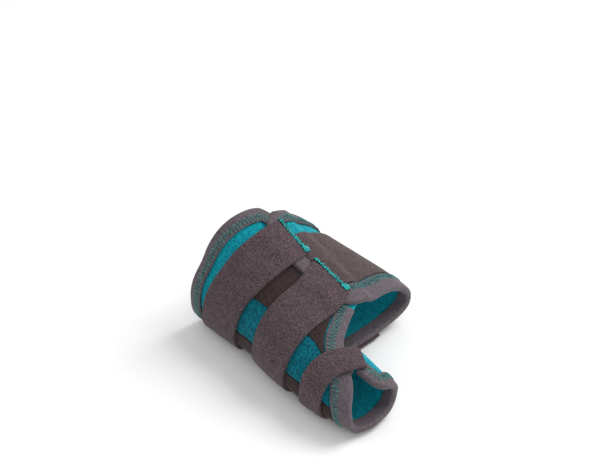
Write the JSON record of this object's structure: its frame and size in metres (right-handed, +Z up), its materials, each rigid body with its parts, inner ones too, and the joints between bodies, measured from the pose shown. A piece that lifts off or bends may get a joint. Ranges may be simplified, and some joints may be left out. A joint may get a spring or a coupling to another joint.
{
  "type": "bunion corrector",
  "caption": "Soft brace worn on the left foot: an elastic wrap round the instep, a sleeve round the big toe, sewn covers and bindings, and flat straps down the big toe side.",
  "frame": {"origin": "on the flat underside of the ball strap, below the ball of the big toe", "axes": "+X towards the toes, +Y towards the outer side of the foot, -Y the big toe side, +Z up"},
  "size_m": [0.1475, 0.1124, 0.0769],
  "materials": {
    "teal_cloth": "ribbed elastic cloth, matt",
    "grey_cover": "brushed loop cloth, matt",
    "dark_cover": "smooth laminated cloth, matt",
    "binding_tape": "woven folded tape, slight sheen",
    "loop_strap": "dense loop pile, matt"
  },
  "bodies": {
    "root": {"midfoot_wrap": "teal_cloth", "toe_sleeve": "teal_cloth", "splint_channel": "teal_cloth", "lateral_cover": "grey_cover", "medial_cover_upper": "dark_cover", "medial_cover_lower": "dark_cover", "hem_binding": "binding_tape", "front_binding": "binding_tape", "lap_binding": "binding_tape", "sleeve_binding": "binding_tape", "heel_side_strap": "loop_strap", "ball_strap": "loop_strap", "toe_strap": "loop_strap"}
  },
  "joints": []
}
